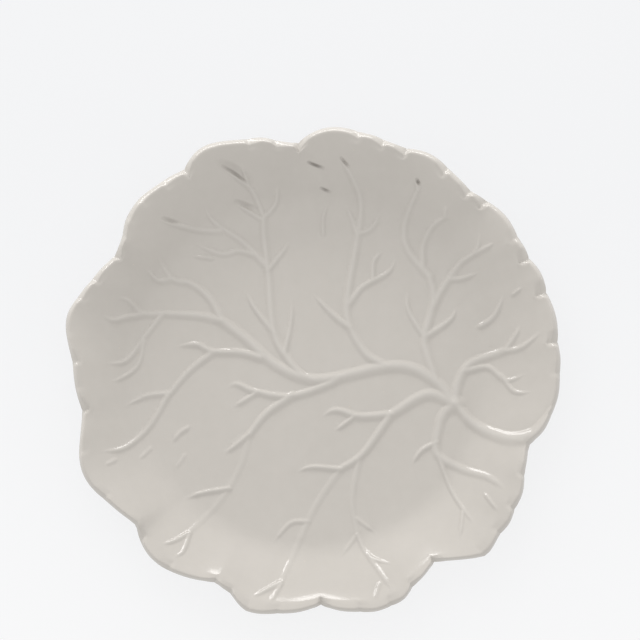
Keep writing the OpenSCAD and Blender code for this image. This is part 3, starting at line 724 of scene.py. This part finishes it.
def refine(bm, leaf, ridges, creases, sizes):
    """Cuts the plan's edges until they are short beside veins and at the lip."""
    for _ in range(CUT_ROUNDS):
        placed = {v: leaf.place(v.co) for v in bm.verts}
        cut = []
        for edge in bm.edges:
            a, b = placed[edge.verts[0]], placed[edge.verts[1]]
            long = (a - b).length
            plan = (edge.verts[0].co + edge.verts[1].co) / 2
            middle = (a + b) / 2
            pressed = creases.near(middle.x, middle.y, MESH_SEARCH)
            if plan.z > FLAT_END and long > sizes.fine_step / 2 and any(
                    CREASE_ROWS[f[3]][2] > DARK_CREASE for f in pressed):
                cut.append(edge)
                continue
            if long < sizes.fine_step or plan.z < -FLAT_END:
                continue
            if long > sizes.lip_step and math.hypot(plan.x, plan.y) > LIP_REGION:
                cut.append(edge)
                continue
            if plan.z < VEIN_REGION:
                continue
            if pressed or any(f[0] * f[2] < f[2] + RIDGE_MARGIN + long / 2
                              for f in ridges.near(middle.x, middle.y, MESH_SEARCH)):
                cut.append(edge)
        if not cut:
            break
        bmesh.ops.subdivide_edges(bm, edges=cut, cuts=1, use_grid_fill=True)


def place_skin(bm, leaf, ridges, creases):
    """Moves the plan's points to the leaf and its ridges, and notes on them where glaze pools,
    where thin glaze and a painted highlight lighten them, and the painted shade in slits.
    """
    pooled = bm.verts.layers.float.new("glaze_pool")
    thin_and_highlight_layer = bm.verts.layers.float.new("thin_glaze_and_highlight")
    slit_shade_layer = bm.verts.layers.float.new("slit_painted_shade")
    for vert in bm.verts:
        plan_z, spot = vert.co.z, leaf.place(vert.co)
        over = ramp(plan_z, *VEIN_WRAP)
        if over > 0:
            high, pool, thin_and_highlight = ridge_height(ridges.near(spot.x, spot.y, LOOK_SEARCH))
            deep, dark = crease_depth(creases.near(spot.x, spot.y))
            # The lip's roll is painted lighter all round, for thin glaze and as a painted highlight
            if abs(plan_z) < FLAT_END:
                thin_and_highlight = max(thin_and_highlight, LIP_THIN_AND_HIGHLIGHT * (1 - abs(plan_z)))
            spot.z += (high - deep) * over
            vert[pooled] = pool * over
            vert[thin_and_highlight_layer] = thin_and_highlight * over
            # How much painted shade darkens the slit here
            vert[slit_shade_layer] = dark * over
        vert.co = spot
    bmesh.ops.recalc_face_normals(bm, faces=bm.faces)


def foot_side(foot, edge, way):
    """A side of the foot ring from the wall down to its rest: way is 1 outside and -1 inside."""
    soft, top, spread = foot.foot_width / 4, foot.foot_height, way * foot.foot_flare
    side = [(edge + spread * FILLET_REACH, top + FOOT_ROOT)]
    side += [(edge + spread * (1 - t) ** FOOT_POWER * FOOT_REACH, top - (top - soft * 2) * t)
             for t in FOOT_SHARES]
    for t in map(math.radians, FOOT_DEGREES):
        side.append((edge - way * soft * (1 - math.cos(t)), soft * (1 - math.sin(t))))
    return side


def new_piece(name, bm, material):
    """A finished mesh as an object at the origin, shaded smooth."""
    for face in bm.faces:
        face.smooth = True
    mesh = bpy.data.meshes.new(name)
    bm.to_mesh(mesh)
    bm.free()
    mesh.materials.append(material)
    piece = bpy.data.objects.new(name, mesh)
    bpy.context.scene.collection.objects.link(piece)
    return piece


class Wire:
    """A shader socket that sums and products can be written with."""

    def __init__(self, recipe, socket):
        self.recipe, self.socket = recipe, socket

    def math(self, operation, *values):
        return self.recipe.add("ShaderNodeMath", {"operation": operation}, *values)

    def __add__(self, other):
        return self.math("ADD", self, other)

    def __radd__(self, other):
        return self.math("ADD", other, self)

    def __sub__(self, other):
        return self.math("SUBTRACT", self, other)

    def __rsub__(self, other):
        return self.math("SUBTRACT", other, self)

    def __mul__(self, other):
        return self.math("MULTIPLY", self, other)

    def __rmul__(self, other):
        return self.math("MULTIPLY", other, self)

    def clamped(self, low, high):
        """Where the value runs from low to high, a share from 0 to 1."""
        return self.recipe.add("ShaderNodeMapRange", {"interpolation_type": "SMOOTHSTEP"},
                               self, low, high)


class Recipe:
    """A material and the nodes that it is made from."""

    def __init__(self, name):
        self.material = bpy.data.materials.new(name)
        self.material.use_nodes = True
        self.tree = self.material.node_tree
        self.tree.nodes.clear()
        self.output = self.tree.nodes.new("ShaderNodeOutputMaterial")

    def add(self, kind, settings=None, *values, out=0, **named):
        """Adds a node: its settings come first, then its sockets by order or by name."""
        node = self.tree.nodes.new(kind)
        for key, value in (settings or {}).items():
            setattr(node, key, value)
        inputs = [s for s in node.inputs if s.enabled]
        pairs = list(zip(inputs, values))
        pairs += [(next(s for s in inputs if s.name == key.replace("_", " ")), value)
                  for key, value in named.items()]
        for socket, value in pairs:
            if isinstance(value, Wire):
                self.tree.links.new(value.socket, socket)
            elif value is not None:
                socket.default_value = value
        outputs = [s for s in node.outputs if s.enabled]
        return Wire(self, outputs[out])

    def place(self):
        """Object coordinates."""
        return self.add("ShaderNodeTexCoord", out=3)

    def noise(self, place, scale, detail=2.0):
        return self.add("ShaderNodeTexNoise", None, Vector=place, Scale=scale, Detail=detail)

    def mixed(self, share, first, second):
        return self.add("ShaderNodeMix", {"data_type": "RGBA"}, share, first, second)

    def own(self, name):
        """A value that is kept on the piece's own points."""
        return self.add("ShaderNodeAttribute", {"attribute_name": name}, out=2)

    def finish(self, surface):
        self.tree.links.new(surface.socket, self.output.inputs["Surface"])
        return self.material


def colour(value):
    """A colour with its alpha, as a socket takes it."""
    return (*value, 1.0)


def pinholes(recipe, place):
    """Tiny round pits in a few of many cells."""
    def cells(out):
        return recipe.add("ShaderNodeTexVoronoi", {"feature": "F1"}, Vector=place,
                          Scale=210.0, out=out)

    distance, middle = cells(0), cells(2)
    chance = recipe.add("ShaderNodeTexWhiteNoise", {"noise_dimensions": "3D"}, Vector=middle)
    return (1 - distance.clamped(0.03, 0.11)) * chance.clamped(0.90, 0.93)


def glaze_surface(recipe, look, place):
    """Colour, roughness and relief of the fired glaze. The noise swings round a half."""
    pool, thin_and_highlight = recipe.own("glaze_pool"), recipe.own("thin_glaze_and_highlight")
    cloud = recipe.noise(place, scale=22.0, detail=3.0)
    mottle = recipe.noise(place, scale=190.0, detail=4.0)
    uneven = (cloud - 0.5) * look.clouding + (mottle - 0.5) * look.mottling
    tone = recipe.mixed(uneven + look.blending, colour(look.glaze), colour(look.pooled))
    tone = recipe.mixed(pool * look.pooling, tone, colour(look.pooled))
    # Crests and the lip are mixed towards a lighter colour: thin glaze and a painted highlight
    tone = recipe.mixed(thin_and_highlight * look.thinning_and_highlight, tone, colour(look.thin_and_highlight))
    # Painted shade: the slits and creases are mixed towards a dark colour
    tone = recipe.mixed(recipe.own("slit_painted_shade"), tone, colour(look.slit_shade))
    pits = pinholes(recipe, place)
    tone = recipe.mixed(pits * look.pitting, tone, colour(look.clay))
    gloss = look.roughness + (mottle - 0.5) * 0.06 + pits * 0.25 + thin_and_highlight * 0.05
    ripple = recipe.noise(place, scale=95.0)
    grain = recipe.noise(place, scale=420.0)
    return tone, gloss, ripple * 0.55 + grain * 0.10 - pits * 0.5


def glaze_material(look):
    recipe = Recipe("off_white_glaze")
    tone, gloss, relief = glaze_surface(recipe, look, recipe.place())
    bump = recipe.add("ShaderNodeBump", None, Strength=0.35, Distance=0.00012, Height=relief)
    shader = recipe.add("ShaderNodeBsdfPrincipled", None, Base_Color=tone, Roughness=gloss,
                        Normal=bump, IOR=1.5)
    return recipe.finish(shader)


def foot_material(look):
    """Glaze on the sides of the ring, wiped off the face it rests on."""
    recipe = Recipe("wiped_foot")
    place = recipe.place()
    up = recipe.add("ShaderNodeSeparateXYZ", None, place, out=2)
    ragged = recipe.noise(place, scale=140.0, detail=3.0)
    glazed = (up + (ragged - 0.5) * RAGGED).clamped(*GLAZE_START)
    tone, gloss, relief = glaze_surface(recipe, look, place)
    grit = recipe.noise(place, scale=1500.0, detail=4.0)
    stain = recipe.noise(place, scale=60.0, detail=3.0)
    bare = recipe.mixed(stain.clamped(0.35, 0.75) * 0.5 + grit * 0.25,
                        colour(look.clay), colour(look.stain))
    rough = 0.82 + (grit - 0.5) * 0.2
    bump = recipe.add("ShaderNodeBump", None, Strength=0.5, Distance=0.00015,
                      Height=relief * glazed + grit * (1 - glazed))
    shader = recipe.add("ShaderNodeBsdfPrincipled", None,
                        Base_Color=recipe.mixed(glazed, bare, tone),
                        Roughness=rough + (gloss - rough) * glazed, Normal=bump, IOR=1.5)
    return recipe.finish(shader)


def floor_material(look):
    """Pale paper, painted lighter before the plate than behind it. To the camera, and in mirrors and
    glass, it mostly shows its plain colour.
    """
    recipe = Recipe("pale_floor")
    far = recipe.add("ShaderNodeSeparateXYZ", None, recipe.place(), out=1).clamped(*FLOOR_TURN)
    tone = recipe.mixed(far, colour(look.painted_light_near_floor), colour(look.floor))
    paper = recipe.add("ShaderNodeBsdfPrincipled", None, Base_Color=tone, Roughness=0.9)
    glow = recipe.add("ShaderNodeEmission", None, Color=tone, Strength=1.0)
    rays = "ShaderNodeLightPath"
    camera, glossy, through = recipe.add(rays), recipe.add(rays, out=3), recipe.add(rays, out=6)
    seen = camera + glossy + through
    share = seen.math("MINIMUM", seen, 1.0) * look.glow
    return recipe.finish(recipe.add("ShaderNodeMixShader", None, share, paper, glow))


def area_lamp(name, toward, distance, wide, high, power):
    """A soft oblong lamp that shines at the origin from the way that it lies."""
    data = bpy.data.lights.new(name, "AREA")
    data.shape, data.size, data.size_y, data.energy = "RECTANGLE", wide, high, power
    piece = bpy.data.objects.new(name, data)
    aim = Vector(toward).normalized()
    piece.location = aim * distance
    piece.rotation_euler = aim.to_track_quat("Z", "Y").to_euler()
    bpy.context.scene.collection.objects.link(piece)
    return piece


def photo_camera(leaf, lens):
    """A camera that frames the lip as the square photograph does."""
    data = bpy.data.cameras.new("photo_camera")
    data.lens, data.sensor_width = lens, 36.0
    data.clip_start, data.clip_end = 0.05, 50.0
    away = PHOTO_SIDE * leaf.pixel * data.lens / data.sensor_width
    back = Vector((0, -math.sin(LEAN), math.cos(LEAN)))
    centre = leaf.on_lip(PHOTO_SIDE / 2, PHOTO_SIDE / 2)
    camera = bpy.data.objects.new("photo_camera", data)
    camera.location = Vector((centre.x, centre.y, leaf.sizes.lip_height - leaf.lip_r)) + back * away
    camera.rotation_euler = back.to_track_quat("Z", "Y").to_euler()
    bpy.context.scene.collection.objects.link(camera)
    return camera


class PLATE_OT_glazed_leaf(bpy.types.Operator):
    """Models the leaf's face, lip and underside as one glazed skin with veins and stalk"""
    bl_idname = "plate.glazed_leaf"
    bl_label = "Glazed Leaf"

    def execute(self, context):
        settings = context.scene.leaf_plate
        leaf = Leaf(settings.leaf, settings.foot)
        bm = drum_plan()
        plain = plain_skin(bm, leaf)
        ridges = vein_ridges(leaf, plain, settings.veins)
        creases = pressed_creases(leaf, plain)
        refine(bm, leaf, ridges, creases, settings.veins)
        place_skin(bm, leaf, ridges, creases)
        skin = new_piece("glazed_leaf", bm, glaze_material(settings.glaze))
        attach(skin, "root")
        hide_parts("leaf_dish", "stalk", "midrib_veins", "upper_veins", "top_veins",
                    "upper_left_veins", "right_veins", "lower_left_veins", "bottom_veins",
                    "lower_right_veins")
        return {"FINISHED"}


class PLATE_OT_turned_foot(bpy.types.Operator):
    """Turns the foot ring with its rounded rest and a fillet into the underside"""
    bl_idname = "plate.turned_foot"
    bl_label = "Turned Foot"

    def execute(self, context):
        settings = context.scene.leaf_plate
        leaf, foot = Leaf(settings.leaf, settings.foot), settings.foot
        section = foot_side(foot, foot.foot_radius - foot.foot_width, -1)
        section += reversed(foot_side(foot, foot.foot_radius, 1))
        bm = bmesh.new()
        verts = [bm.verts.new((leaf.well.x + r, leaf.well.y, z)) for r, z in section]
        edges = [bm.edges.new(pair) for pair in zip(verts, verts[1:] + verts[:1])]
        bmesh.ops.spin(bm, geom=verts + edges, cent=(leaf.well.x, leaf.well.y, 0),
                       axis=(0, 0, 1), angle=2 * math.pi, steps=FOOT_STEPS, use_merge=True)
        bmesh.ops.remove_doubles(bm, verts=bm.verts, dist=1e-6)
        bmesh.ops.recalc_face_normals(bm, faces=bm.faces)
        ring = new_piece("turned_foot", bm, foot_material(settings.glaze))
        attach(ring, "root")
        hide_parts("foot_ring")
        return {"FINISHED"}


class PLATE_OT_studio(bpy.types.Operator):
    """Sets the plate on a pale floor under a soft lamp, with the photograph's camera"""
    bl_idname = "plate.studio"
    bl_label = "Studio"

    def execute(self, context):
        scene, settings = context.scene, context.scene.leaf_plate
        look = settings.studio
        bm = bmesh.new()
        bmesh.ops.create_circle(bm, cap_ends=True, segments=96, radius=6.0)
        floor = new_piece("studio_floor", bm, floor_material(look))

        world = scene.world or bpy.data.worlds.new("studio_sky")
        scene.world = world
        world.use_nodes = True
        background = world.node_tree.nodes["Background"]
        background.inputs["Color"].default_value = (1, 1, 1, 1)
        background.inputs["Strength"].default_value = look.sky

        area_lamp("soft_key", toward=(-0.15, 0.94, 0.24), distance=1.6, wide=2.2, high=0.35,
                  power=look.key_power)
        fill = area_lamp("broad_fill", toward=(-0.25, 0.60, 0.75), distance=1.6, wide=1.2,
                         high=0.9, power=look.fill_power)
        fill.visible_glossy = False

        scene.camera = photo_camera(Leaf(settings.leaf, settings.foot), look.lens)
        scene.view_settings.view_transform = "Standard"
        return {"FINISHED"}


class PLATE_PT_sidebar(bpy.types.Panel):
    """Lists the plate's pieces and sizes"""
    bl_label = "Leaf Plate"
    bl_idname = "PLATE_PT_sidebar"
    bl_space_type = "VIEW_3D"
    bl_region_type = "UI"
    bl_category = "Leaf Plate"

    def draw(self, context):
        settings = context.scene.leaf_plate
        for operator in OPERATORS:
            self.layout.operator(operator.bl_idname)
        for group in (settings.leaf, settings.foot, settings.veins, settings.glaze,
                      settings.studio):
            box = self.layout.box()
            for name in group.__annotations__:
                box.prop(group, name)


OPERATORS = (PLATE_OT_glazed_leaf, PLATE_OT_turned_foot, PLATE_OT_studio)
CLASSES = (LeafSizes, FootSizes, VeinSizes, GlazeLook, StudioLook, PlateSettings, *OPERATORS,
           PLATE_PT_sidebar)


def register():
    for cls in CLASSES:
        bpy.utils.register_class(cls)
    bpy.types.Scene.leaf_plate = PointerProperty(
        type=PlateSettings, name="Leaf Plate", description="Sizes and colours of the leaf plate")


def unregister():
    del bpy.types.Scene.leaf_plate
    for cls in reversed(CLASSES):
        bpy.utils.unregister_class(cls)


def main():
    register()
    bpy.ops.plate.glazed_leaf()
    bpy.ops.plate.turned_foot()
    bpy.ops.plate.studio()


if __name__ == "__main__":
    main()
